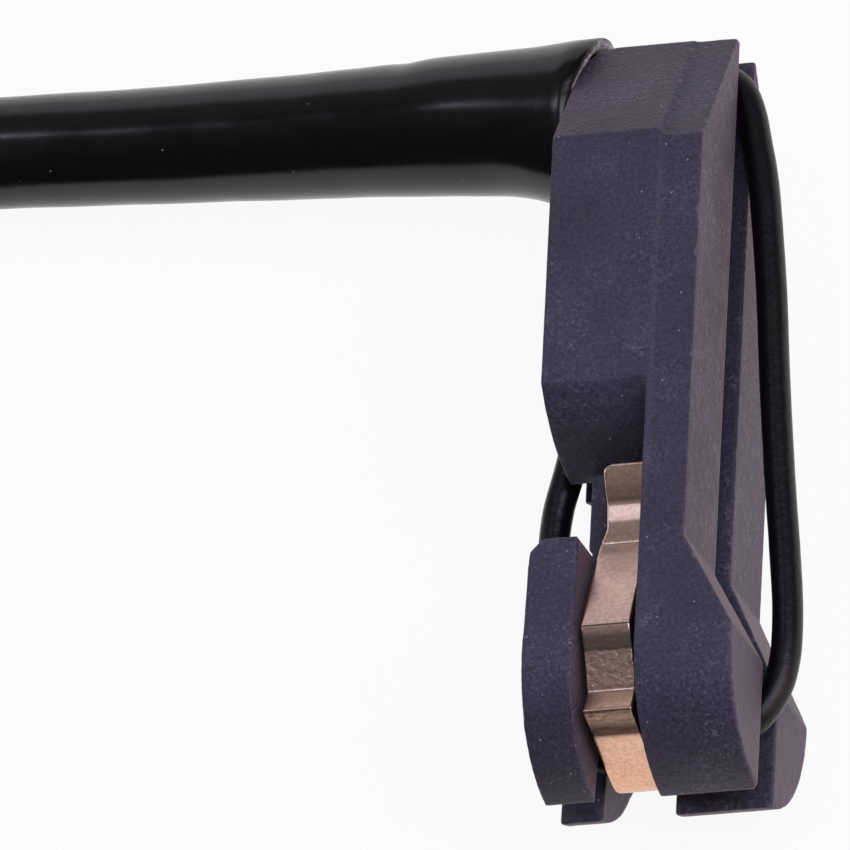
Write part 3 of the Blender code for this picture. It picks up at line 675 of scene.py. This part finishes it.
@dataclass
class CoiledLead:
    """The sleeved lead: flared on the neck, then along the surface, its coil and down to its plug.

    Along the coil a place is an angle in degrees, run since the coil's right side. A change of
    radius or height on it is written as the angle where it starts and the angle that it takes.
    """

    bench: Bench
    diameter: float = 4.5
    wall: float = 0.4
    real_length: float = 0.5
    sides: int = 72
    near_step: float = 0.22
    near_rings: int = 150
    far_step: float = 0.9
    path_step: float = 2.0
    inner_every: int = 3
    coil_radius: float = 26.0
    coil_lift: float = 0.73
    coil_x: float = -60.0
    coil_start: float = 90.0
    coil_end: float = 990.0
    coil_parts: int = 75
    inward: tuple[float, float] = (362.0, 88.0)
    climb: tuple[float, float] = (675.0, 91.0)
    settle: tuple[float, float] = (766.0, 64.0)
    crossing: tuple[float, float] = (745.0, 100.0)
    crossing_lift: float = 0.7
    lead_y: float = 32.2
    plug_axis: float = 4.3
    hollow: float = 6.4
    end_x: float = 0.12
    lip: float = 0.62
    lip_bend: float = 0.7
    lip_start: float = 29.9
    lip_end: float = 32.6
    tooth: float = 0.11
    # How far the pale band, a painted highlight, reaches from the bore into the cut face.
    cut_depth: float = 0.21
    cut_waver: float = 0.05
    end_flare: float = 0.07
    foot_flare: float = 0.8
    flare_length: float = 3.8
    crease_x: float = -7.6
    crease: float = 0.1
    crease_width: float = 0.7
    swell: float = 0.03
    swell_along: float = 0.35
    swell_round: float = 0.8
    route: tuple[Point, ...] = (
        (-0.00025, 0.03002, 0.00519),
        (-0.0022, 0.03011, 0.00513),
        (-0.0061, 0.03036, 0.0049),
        (-0.0098, 0.0306, 0.0045),
        (-0.0145, 0.03095, 0.00395),
        (-0.02, 0.03135, 0.00345),
        (-0.0248, 0.0317, 0.00312),
        (-0.031, 0.032, 0.00297),
        (-0.038, 0.03215, 0.00295),
        (-0.046, 0.0322, 0.00295),
        (-0.054, 0.0322, 0.00295),
    )
    radii: tuple[float, ...] = (3.12, 2.99, 2.81, 2.6, 2.46, 2.33, 2.26, 2.25)

    def coil_point(self, angle: float) -> Vector:
        """Give a place on the coil's line.

        Args:
            angle: Degrees run since the coil's right side.

        Returns:
            The centre of the lead there, in the head's frame.
        """
        inward, climb, settle, crossing = (
            (angle - start) / length
            for start, length in (self.inward, self.climb, self.settle, self.crossing)
        )
        d = self.diameter
        radius = self.coil_radius + d / 2 - d * smooth(inward)
        radius += d / 2 * smooth(settle)
        height = d * math.sqrt(3) / 2 * smooth(climb)
        if 0.0 < crossing < 1.0:
            height += self.crossing_lift * math.sin(math.pi * crossing) ** 2
        turn = math.radians(angle)
        centre_y = self.lead_y - self.coil_radius - d / 2
        return Vector(
            (
                self.coil_x + radius * math.cos(turn),
                centre_y + radius * math.sin(turn),
                self.coil_lift + d / 2 + height,
            )
        )

    def tail(self) -> list[Vector]:
        """Give the lead's points from the coil down to the plug.

        Returns:
            The points in the head's frame.
        """
        x, y, top = self.coil_point(self.coil_end)
        axis = self.plug_axis
        steps = (
            (6.0, -0.05, top + 0.3),
            (11.0, -0.15, top + 0.6),
            (15.0, -0.3, top + 0.35),
            (19.5, -0.45, top - 0.75),
            (24.0, -0.5, axis + 0.75),
            (28.0, -0.5, axis + 0.1),
            (31.0, -0.5, axis),
            (36.0, -0.5, axis),
        )
        return [Vector((x + dx, y + dy, z)) for dx, dy, z in steps]

    def line(self, step: float) -> Ring:
        """Give the lead's whole centre line.

        Args:
            step: The distance between its points.

        Returns:
            Evenly spaced points from the head to the plug.
        """
        start = [Vector(p) / MM for p in self.route]
        turned = self.coil_end - self.coil_start
        angles = [self.coil_start + turned * i / self.coil_parts for i in range(self.coil_parts + 1)]
        return smooth_route([*start, *map(self.coil_point, angles), *self.tail()], step)

    def radius_at(self, x: float) -> float:
        """Give the sleeve's radius at a place left of the head.

        Args:
            x: The place in the head's frame.

        Returns:
            The radius, which narrows from the neck to the plain lead.
        """
        spots = [-p[0] / MM for p in self.route]
        for i in range(len(self.radii) - 1):
            if -x <= spots[i + 1]:
                share = max(-x - spots[i], 0.0) / (spots[i + 1] - spots[i])
                return self.radii[i] + (self.radii[i + 1] - self.radii[i]) * share
        return self.radii[-1]

    def ring(self, place: Vector, side: Vector, up: Vector, radius: float) -> Ring:
        """Give one ring of the sleeve, with its flare, its crease and the skin's slow unevenness.

        Args:
            place: The ring's centre.
            side: The lead's side vector there.
            up: The lead's up vector there.
            radius: The skin's radius before its unevenness.

        Returns:
            The ring's points.
        """
        made: Ring = []
        near_end = max(1 + (place.x - self.route[0][0] / MM) / self.flare_length, 0.0) ** 2
        fold = self.crease * math.exp(-(((place.x - self.crease_x) / self.crease_width) ** 2))
        for i in range(self.sides):
            angle = 2 * math.pi * i / self.sides
            out = math.cos(angle) * side + math.sin(angle) * up
            uneven = self.swell * noise.noise(place * self.swell_along + out * self.swell_round)
            flare = near_end * (self.end_flare + self.foot_flare * max(-out.y, 0.0) ** 2)
            dent = fold * max(out.y, 0.0) ** 2
            made.append(place + out * (radius + uneven + flare - dent))
        return made

    def build(self) -> bpy.types.Object:
        """Returns:
            The sleeve's object.
        """
        near = self.line(self.near_step)
        points = near[: self.near_rings] + even(near[self.near_rings :], self.far_step)
        frames = carried_frames(points)
        outer = [self.ring(p, s, u, self.radius_at(p.x)) for p, s, u in frames]
        inner = self.bore(frames)
        middle = self.cut_line(inner[0], outer[0])
        for ring in (outer[0], middle, inner[0]):
            self.shape_end(ring)
        deeper = inner[self.inner_every :: self.inner_every]
        shape = bmesh.new()
        skin_rings(shape, [*reversed(deeper), inner[0], middle, *outer], marked=len(deeper))
        piece = self.bench.scatter("lead_sleeve", shape)
        piece.data.materials.append(VINYL_SLEEVE.make())
        # The second finish paints the highlight on the cut rim.
        piece.data.materials.append(PAINTED_RIM_HIGHLIGHT.make())
        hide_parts("sleeve_mouth", "sleeve_run", "sleeve_coil", "sleeve_tail")
        path = [self.bench.place(p) for p in even(points, self.path_step)]
        LOG.info("lead sleeve: %.0f mm long", path_length(points))
        return piece

    def bore(self, frames: Sequence[tuple[Vector, Vector, Vector]]) -> list[Ring]:
        """Give the rings of the sleeve's inside, as far in as it is hollow.

        Args:
            frames: The lead's points from the head on, with their side and up vectors.

        Returns:
            The inner rings from the mouth inward.
        """
        made: list[Ring] = []
        run = 0.0
        for i, (place, side, up) in enumerate(frames):
            run += (place - frames[max(i - 1, 0)][0]).length
            if run > self.hollow:
                break
            made.append(self.ring(place, side, up, self.radius_at(place.x) - self.wall))
        return made

    def cut_line(self, inner: Ring, outer: Ring) -> Ring:
        """Give the wavering line that parts the cut face into a pale band at the bore, painted
        highlight, and a dark band outside it.

        Args:
            inner: The inside's end ring.
            outer: The outside's end ring.

        Returns:
            A ring between the two.
        """
        made: Ring = []
        for i, (inside, outside) in enumerate(zip(inner, outer)):
            waver = self.cut_waver * noise.noise(Vector((i * 1.7, 5.0, 1.0)))
            made.append(inside.lerp(outside, (self.cut_depth + waver) / self.wall))
        return made

    def shape_end(self, ring: Ring) -> None:
        """Lay the cut end against the head's side and over its corner, with a torn edge.

        Args:
            ring: The end ring, whose points move along the lead.
        """
        for i, spot in enumerate(ring):
            share = smooth((spot.y - self.lip_start) / (self.lip_end - self.lip_start))
            teeth = self.tooth * noise.noise(Vector((i * 1.9, spot.z * 3.0, 3.0)))
            spot.x = self.end_x + self.lip * share**self.lip_bend + teeth * share


@dataclass
class MouldedHead:
    """The head's one moulding, with its edges rounded and its skin grained as it left the tool."""

    bench: Bench
    voxel: float = 0.09
    rounds: int = 3
    kept: float = 0.44
    weld: float = 0.002
    grain: float = 0.008
    swells_per_mm: float = 2.2
    bumps_per_mm: float = 5.0
    bump_share: float = 0.6

    def build(self) -> bpy.types.Object:
        """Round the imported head's edges and dress it.

        Returns:
            The head's object.
        """
        rounded = self.rounded()
        shape = bmesh.new()
        shape.from_mesh(rounded)
        bpy.data.meshes.remove(rounded)
        shape.normal_update()
        self.roughen(shape)
        piece = self.bench.scatter("moulded_head", shape)
        piece.data.materials.append(HEAD_NYLON.make())
        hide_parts("sensor_head")
        LOG.info("moulded head: %d faces", len(piece.data.polygons))
        return piece

    def rounded(self) -> bpy.types.Mesh:
        """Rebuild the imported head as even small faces, and smooth its edges round.

        Returns:
            The mesh in millimetres in the head's frame.
        """
        shape = bmesh.new()
        shape.from_mesh(bpy.data.objects["sensor_head"].data)
        bmesh.ops.remove_doubles(shape, verts=shape.verts, dist=self.weld * MM)
        for vertex in shape.verts:
            vertex.co = vertex.co / MM - self.bench.origin
        mesh = bpy.data.meshes.new("packed_head")
        shape.to_mesh(mesh)
        shape.free()
        piece = bpy.data.objects.new("packed_head", mesh)
        bpy.context.scene.collection.objects.link(piece)
        remesh = piece.modifiers.new("even_faces", "REMESH")
        remesh.mode = "VOXEL"
        remesh.voxel_size = self.voxel
        soften = piece.modifiers.new("round_edges", "SMOOTH")
        soften.factor = 0.5
        soften.iterations = self.rounds
        thin = piece.modifiers.new("fewer_faces", "DECIMATE")
        thin.ratio = self.kept
        graph = bpy.context.evaluated_depsgraph_get()
        made = bpy.data.meshes.new_from_object(piece.evaluated_get(graph))
        bpy.data.objects.remove(piece)
        bpy.data.meshes.remove(mesh)
        return made

    def roughen(self, shape: bmesh.types.BMesh) -> None:
        """Move the skin in and out by about a hundredth, and keep it off the table.

        Args:
            shape: The head's bmesh, with its normals up to date.
        """
        for vertex in shape.verts:
            swell = noise.noise(vertex.co * self.swells_per_mm)
            swell += self.bump_share * noise.noise(vertex.co * self.bumps_per_mm)
            vertex.co += vertex.normal * swell * self.grain
            vertex.co.z = max(vertex.co.z, 0.0)


@dataclass
class LeafSpring:
    """The bronze leaf spring: narrow tongue, crease, ridge and a tail hooked round the web."""

    bench: Bench
    left: float = 2.3
    right: float = 4.32
    thickness: float = 0.26
    tongue_left: float = 2.62
    shoulder_top: float = 10.6
    shoulder_bottom: float = 9.75
    tongue_run: float = 6.0
    corner: float = 0.35
    rounding: float = 0.07
    arc_parts: int = 3
    front_parts: int = 14
    step: float = 0.07
    depth_of_head: float = 10.4
    rough_runs: tuple[tuple[float, float, float, float], ...] = (
        (8.9, 0.3, 10.6, 0.2),
        (11.8, 0.2, 12.8, 0.3),
    )
    pit_depth: float = 0.025
    pits_per_mm: tuple[float, float] = (6.0, 5.0)
    skin_depth: float = 0.002
    profile: tuple[tuple[float, float], ...] = (
        (12.86, 0.96),
        (12.62, 1.06),
        (12.15, 1.3),
        (11.72, 1.56),
        (11.5, 1.7),
        (11.3, 1.74),
        (10.85, 1.8),
        (10.65, 1.84),
        (10.0, 2.04),
        (9.87, 2.06),
        (9.74, 2.0),
        (9.35, 1.8),
        (8.9, 1.58),
        (7.56, 0.92),
        (5.72, 0.15),
        (5.58, 0.12),
        (5.45, 0.15),
        (5.2, 0.27),
        (4.75, 0.58),
        (4.6, 0.67),
        (3.4, 1.16),
        (3.1, 1.24),
        (2.3, 0.88),
        (2.15, 0.89),
        (2.05, 1.05),
        (1.92, 1.4),
        (1.75, 1.9),
        (1.5, 2.6),
        (1.25, 3.3),
        (1.0, 4.0),
        (0.75, 4.7),
        (0.63, 5.2),
        (0.66, 5.6),
        (0.86, 6.08),
        (1.4, 6.65),
        (2.2, 7.4),
        (3.4, 7.75),
        (6.2, 7.75),
    )

    def left_at(self, height: float, run: float) -> float:
        """Give the strip's left edge.

        Args:
            height: Height on the head in millimetres.
            run: Distance from the tongue's tip along the strip.

        Returns:
            The left edge's x in millimetres.
        """
        if run > self.tongue_run:
            return self.left
        share = smooth((height - self.shoulder_bottom) / (self.shoulder_top - self.shoulder_bottom))
        edge = self.left + (self.tongue_left - self.left) * share
        if run < self.corner:
            edge += self.corner - math.sqrt(self.corner**2 - (self.corner - run) ** 2)
        return edge

    def arc(self, x: float, depth: float, start: float) -> list[tuple[float, float]]:
        """Round one corner of the section.

        Args:
            x: The rounding's centre across the strip.
            depth: The rounding's centre behind the front face.
            start: Where its quarter turn starts, in degrees.

        Returns:
            The corner's points, each as x and depth.
        """
        made = []
        for i in range(self.arc_parts + 1):
            angle = math.radians(start + 90 * i / self.arc_parts)
            made.append((x + self.rounding * math.cos(angle), depth + self.rounding * math.sin(angle)))
        return made

    def section(self, edge: float) -> list[tuple[float, float]]:
        """Give the strip's rounded section, with close points on its front face.

        Args:
            edge: The left edge's x there.

        Returns:
            The section's points, each as x across the strip and depth behind its front face.
        """
        left, right = edge + self.rounding, self.right - self.rounding
        front, back = self.rounding, self.thickness - self.rounding
        width = self.right - edge
        return [
            *self.arc(left, front, 180),
            *((edge + width * i / self.front_parts, 0.0) for i in range(1, self.front_parts)),
            *self.arc(right, front, 270),
            *self.arc(right, back, 0),
            *self.arc(left, back, 90),
        ]

    def build(self) -> bpy.types.Object:
        """Build the strip and dress it.

        Returns:
            The spring's object.
        """
        line = smooth_route([(0.0, y, z) for y, z in self.profile], self.step)
        total = path_length(line)
        rings = []
        shares = []
        run = 0.0
        for i, spot in enumerate(line):
            run += (spot - line[max(i - 1, 0)]).length
            along = line[min(i + 1, len(line) - 1)] - line[max(i - 1, 0)]
            along.normalize()
            back = Vector((0.0, along.z, -along.y))
            ring = []
            for x, depth in self.section(self.left_at(spot.y, run)):
                pitted = self.pitting(run, x)
                place = spot + back * (depth + (pitted if depth == 0.0 else 0.0))
                ring.append(Vector((x, place.y, self.depth_of_head - place.z)))
            rings.append(ring)
            shares.append(run / total)
        shape = bmesh.new()
        skin_rings(shape, rings)
        piece = self.bench.scatter("leaf_spring", shape)
        strip = piece.data.attributes.new("strip_share", "FLOAT", "POINT")
        count = len(rings[0])
        for i in range(len(piece.data.vertices)):
            strip.data[i].value = shares[min(i // count, len(shares) - 1)]
        piece.data.materials.append(self.finish(total).make())
        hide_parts("retaining_spring")
        LOG.info("leaf spring: strip %.1f mm long", total)
        return piece

    def pitting(self, run: float, x: float) -> float:
        """Give how far the front face is pitted at a place on the strip.

        Args:
            run: Distance from the tongue's tip along the strip.
            x: The place across the strip.

        Returns:
            The pit's depth in millimetres.
        """
        rough = 0.0
        for start, rise, end, fall in self.rough_runs:
            rough += smooth((run - start) / rise) * (1 - smooth((run - end) / fall))
        spot = Vector((x * self.pits_per_mm[0], run * self.pits_per_mm[1], 0.0))
        pits = rough * self.pit_depth * (0.5 + noise.noise(spot))
        return pits + self.skin_depth * noise.noise(spot * 0.4)

    def finish(self, total: float) -> RolledBronze:
        """Give the strip's finish, with its tones, a dark run of painted shade among them, placed
        along its length.

        Args:
            total: The strip's length in millimetres.

        Returns:
            The bronze finish.
        """
        # Tones by run along the strip in millimetres; from 11.9 to 13.2 the dark run is painted shade
        # where the strip turns back in below its bright band.
        tones_and_shade = (
            (0.0, "#e0c3b2"),
            (1.3, "#e6c9b8"),
            (2.0, "#d9bcac"),
            (4.6, "#ecccb9"),
            (6.6, "#f0cdbb"),
            (7.9, "#e9cbb9"),
            (8.2, "#dcc2b4"),
            (10.5, "#e0c4b5"),
            (10.8, "#f6d6c2"),
            (11.6, "#f6d0ba"),
            (11.9, "#b79a89"),
            (12.5, "#8d7566"),
            (12.8, "#5f4b41"),
            (13.2, "#5f4b41"),
            (13.4, "#f4c6ac"),
            (15.5, "#f2bfa3"),
            (total, "#e6b799"),
        )
        pits = (
            (0.0, "#4a4a4a"),
            (2.2, "#161616"),
            (8.7, "#161616"),
            (9.1, "#ffffff"),
            (10.5, "#ffffff"),
            (10.8, "#404040"),
            (11.9, "#e0e0e0"),
            (13.0, "#303030"),
        )
        return RolledBronze(
            "phosphor_bronze",
            "#b08b6c",
            0.3,
            1.0,
            tones_and_shade=tuple((p / total, c) for p, c in tones_and_shade),
            pits=tuple((p / total, v) for p, v in pits),
        )


@dataclass
class WearLoop:
    """The insulated wire that runs round the head in its groove."""

    bench: Bench
    radius: float = 0.625
    sides: int = 28
    step: float = 0.3
    swell: float = 0.008
    swells_per_mm: float = 1.6
    route: tuple[Point, ...] = (
        (-6.0, 31.2, 4.95),
        (-4.0, 31.25, 5.0),
        (-1.5, 31.32, 5.05),
        (1.0, 31.38, 5.05),
        (3.4, 31.42, 5.05),
        (5.2, 31.35, 5.05),
        (6.1, 30.9, 5.05),
        (6.62, 29.9, 5.05),
        (6.98, 28.4, 5.05),
        (7.4, 26.2, 5.05),
        (7.87, 22.0, 5.05),
        (8.19, 18.0, 5.05),
        (8.6, 13.6, 5.05),
        (8.95, 10.4, 5.05),
        (9.18, 7.8, 5.05),
        (9.16, 5.8, 5.05),
        (8.8, 4.35, 5.05),
        (7.9, 3.1, 5.05),
        (6.5, 2.2, 5.05),
        (4.9, 1.86, 5.05),
        (3.2, 1.82, 5.05),
        (1.7, 2.05, 5.05),
        (0.62, 2.95, 5.05),
        (0.2, 4.5, 5.05),
        (0.05, 6.4, 5.05),
        (-0.4, 8.8, 5.05),
        (-0.72, 11.0, 5.05),
        (-0.62, 12.9, 5.05),
        (-0.2, 14.8, 5.05),
        (0.25, 17.2, 5.05),
        (0.4, 20.5, 5.05),
        (0.9, 23.2, 5.05),
        (1.5, 25.2, 5.05),
        (1.72, 26.8, 5.05),
        (1.3, 28.1, 5.05),
        (0.1, 28.65, 5.05),
        (-1.8, 28.65, 5.04),
        (-3.8, 28.8, 5.0),
        (-6.0, 29.2, 4.95),
    )

    def build(self) -> bpy.types.Object:
        """Build the wire and dress it.

        Returns:
            The wire's object.
        """
        rings = []
        for place, side, up in carried_frames(smooth_route(self.route, self.step)):
            ring = []
            for i in range(self.sides):
                angle = 2 * math.pi * i / self.sides
                out = math.cos(angle) * side + math.sin(angle) * up
                uneven = self.swell * noise.noise(place * self.swells_per_mm + out)
                ring.append(place + out * (self.radius + uneven))
            rings.append(ring)
        shape = bmesh.new()
        skin_rings(shape, rings)
        piece = self.bench.scatter("wear_loop", shape)
        piece.data.materials.append(LOOP_INSULATION.make())
        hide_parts("wear_loop_wire")
        LOG.info("wear loop: %d rings", len(rings))
        return piece


@dataclass
class Plug:
    """The lead's plug and coil ties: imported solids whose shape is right, with their own finishes."""

    finishes: dict[str, Finish] = field(
        default_factory=lambda: {
            "connector_housing": PLUG_POLYESTER,
            "rear_cover": PLUG_POLYESTER,
            "terminal_lock": LOCK_POLYESTER,
            "interface_seal": SEAL_SILICONE,
            "wire_seal_1": SEAL_SILICONE,
            "wire_seal_2": SEAL_SILICONE,
            "contact_socket_1": TINNED_BRASS,
            "contact_socket_2": TINNED_BRASS,
            "lead_wire_1": LOOP_INSULATION,
            "lead_wire_2": LOOP_INSULATION,
            "coil_tie_1": TIE_NYLON,
            "coil_tie_2": TIE_NYLON,
        }
    )

    def dress(self) -> None:
        """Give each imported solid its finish."""
        made: dict[str, bpy.types.Material] = {}
        for node, finish in self.finishes.items():
            if finish.name not in made:
                made[finish.name] = finish.make()
            piece = bpy.data.objects[node]
            for slot in piece.material_slots:
                slot.material = made[finish.name]
            LOG.info("%s: %s", node, finish.name)


# Light, floor and camera


class Lamp(Enum):
    """The studio's soft boxes: where each hangs, its two sides, its radiance and its colour."""

    BACK = ((-0.05, 0.55, 0.15), (0.9, 0.26), 0.8, "#f6f4ff")
    TOP = ((-0.1, 0.42, 0.4), (0.7, 0.3), 0.14, "#f0f0ff")
    CEILING = ((-0.17, -0.03, 0.57), (0.3, 0.8), 0.19, "#fff6f0")
    STRIP = ((-0.165, 0.115, 0.52), (0.22, 0.03), 10.0, "#e0e6ff")
    KEY = ((0.27, -0.01, 0.46), (0.4, 0.3), 3.6, "#f0f0ff")
    RIGHT = ((0.52, -0.1, 0.25), (0.44, 0.4), 1.55, "#ffe2e0")
    LEFT = ((-0.52, 0.05, 0.22), (0.3, 0.3), 2.2, "#f2f2ff")


@dataclass
class Studio:
    """A white table in a dim room, with soft boxes round it."""

    floor_side: float = 6.0
    ambient: float = 0.06
    table_glow: float = 0.93

    def build(self) -> None:
        """Build the floor, the lamps and the world."""
        self.lay_floor()
        self.light_world()
        for lamp in Lamp:
            self.hang(lamp)

    def lay_floor(self) -> None:
        """Lay the white table, which stays white to the camera and keeps a faint shadow."""
        shape = bmesh.new()
        bmesh.ops.create_grid(shape, x_segments=1, y_segments=1, size=self.floor_side / 2)
        mesh = bpy.data.meshes.new("floor")
        shape.to_mesh(mesh)
        shape.free()
        floor = bpy.data.objects.new("floor", mesh)
        bpy.context.scene.collection.objects.link(floor)
        mesh.materials.append(self.white_table())

    def white_table(self) -> bpy.types.Material:
        """Make the table's matt white, which stays white in view with a faint shadow.

        Returns:
            The table's material.
        """
        white = bpy.data.materials.new("white_table")
        white.use_nodes = True
        tree = white.node_tree
        shader = tree.nodes["Principled BSDF"]
        shader.inputs["Base Color"].default_value = linear("#f2f2f2")
        shader.inputs["Roughness"].default_value = 0.9
        shader.inputs["Specular IOR Level"].default_value = 0.0
        rays = add_node(tree, "LightPath")
        bright = add_node(
            tree,
            "Math",
            {"operation": "MAXIMUM"},
            {"0": rays.outputs["Is Camera Ray"], "1": rays.outputs["Is Glossy Ray"]},
        )
        seen = add_band(tree, bright.outputs[0], (0.0, 1.0), (0.0, self.table_glow))
        glow = add_node(tree, "Emission", {"Strength": 1.0})
        mixed = add_node(
            tree, "MixShader", links={"0": seen, "1": shader.outputs[0], "2": glow.outputs[0]}
        )
        tree.links.new(mixed.outputs[0], tree.nodes["Material Output"].inputs["Surface"])
        return white

    def light_world(self) -> None:
        """Light the room dimly, and show it white to the camera."""
        world = bpy.data.worlds.new("studio")
        bpy.context.scene.world = world
        world.use_nodes = True
        tree = world.node_tree
        back = tree.nodes["Background"]
        back.inputs["Color"].default_value = linear("#fbfbff")
        seen = add_node(tree, "LightPath").outputs["Is Camera Ray"]
        strength = add_band(tree, seen, (0.0, 1.0), (self.ambient, 1.0))
        tree.links.new(strength, back.inputs["Strength"])

    def hang(self, lamp: Lamp) -> None:
        """Hang one soft box facing the head, with its first side along the lead.

        Args:
            lamp: The soft box.
        """
        spot, sides, radiance, colour = lamp.value
        name = lamp.name.lower() + "_box"
        light = bpy.data.lights.new(name, "AREA")
        light.shape = "RECTANGLE"
        light.size, light.size_y = sides
        light.energy = radiance * math.pi * sides[0] * sides[1]
        light.color = linear(colour)[:3]
        hung = bpy.data.objects.new(name, light)
        toward = Vector(spot).normalized()
        along = (Vector((1.0, 0.0, 0.0)) - toward * toward.x).normalized()
        across = toward.cross(along)
        hung.matrix_world = Matrix(
            [(along[i], across[i], toward[i], spot[i]) for i in range(3)] + [(0.0, 0.0, 0.0, 1.0)]
        )
        hung.visible_camera = False
        bpy.context.scene.collection.objects.link(hung)


@dataclass
class PhotoCamera:
    """A long lens that looks down at the head as in the photograph."""

    bench: Bench
    swing: float = 18.7
    rise: float = 23.5
    roll: float = 2.87
    lens: float = 1650.0
    sensor: float = 36.0
    picture_width: float = 33.86
    aim: Point = (-6.35, 17.2, 5.2)
    head_nearer: float = 3.4
    nearest: float = 0.01
    farthest: float = 20.0

    def build(self) -> bpy.types.Object:
        """Build the camera.

        Returns:
            The camera, set as the scene's.
        """
        a, e, r = (math.radians(v) for v in (self.swing, self.rise, self.roll))
        right = Vector((math.cos(a), 0.0, -math.sin(a)))
        up = Vector((math.sin(e) * math.sin(a), math.cos(e), math.sin(e) * math.cos(a)))
        back = right.cross(up)
        turned = right * math.cos(r) + up * math.sin(r)
        lifted = up * math.cos(r) - right * math.sin(r)
        distance = self.lens / self.sensor * self.picture_width + self.head_nearer
        spot = self.bench.place(Vector(self.aim) + back * distance)
        data = bpy.data.cameras.new("photo_camera")
        data.lens = self.lens
        data.sensor_width = self.sensor
        data.clip_start = self.nearest
        data.clip_end = self.farthest
        camera = bpy.data.objects.new("photo_camera", data)
        camera.matrix_world = Matrix(
            [(turned[i], lifted[i], back[i], spot[i]) for i in range(3)] + [(0.0, 0.0, 0.0, 1.0)]
        )
        bpy.context.scene.collection.objects.link(camera)
        bpy.context.scene.camera = camera
        return camera


def main() -> None:
    """Build the camera, the lead, the head and its pieces, and the studio."""
    logging.basicConfig(level=logging.INFO, format="%(name)s: %(message)s")
    bpy.context.scene.view_settings.view_transform = "Standard"
    bench = Bench()
    PhotoCamera(bench).build()
    CoiledLead(bench).build()
    Plug().dress()
    MouldedHead(bench).build()
    LeafSpring(bench).build()
    WearLoop(bench).build()
    Studio().build()


if __name__ == "__main__":
    main()
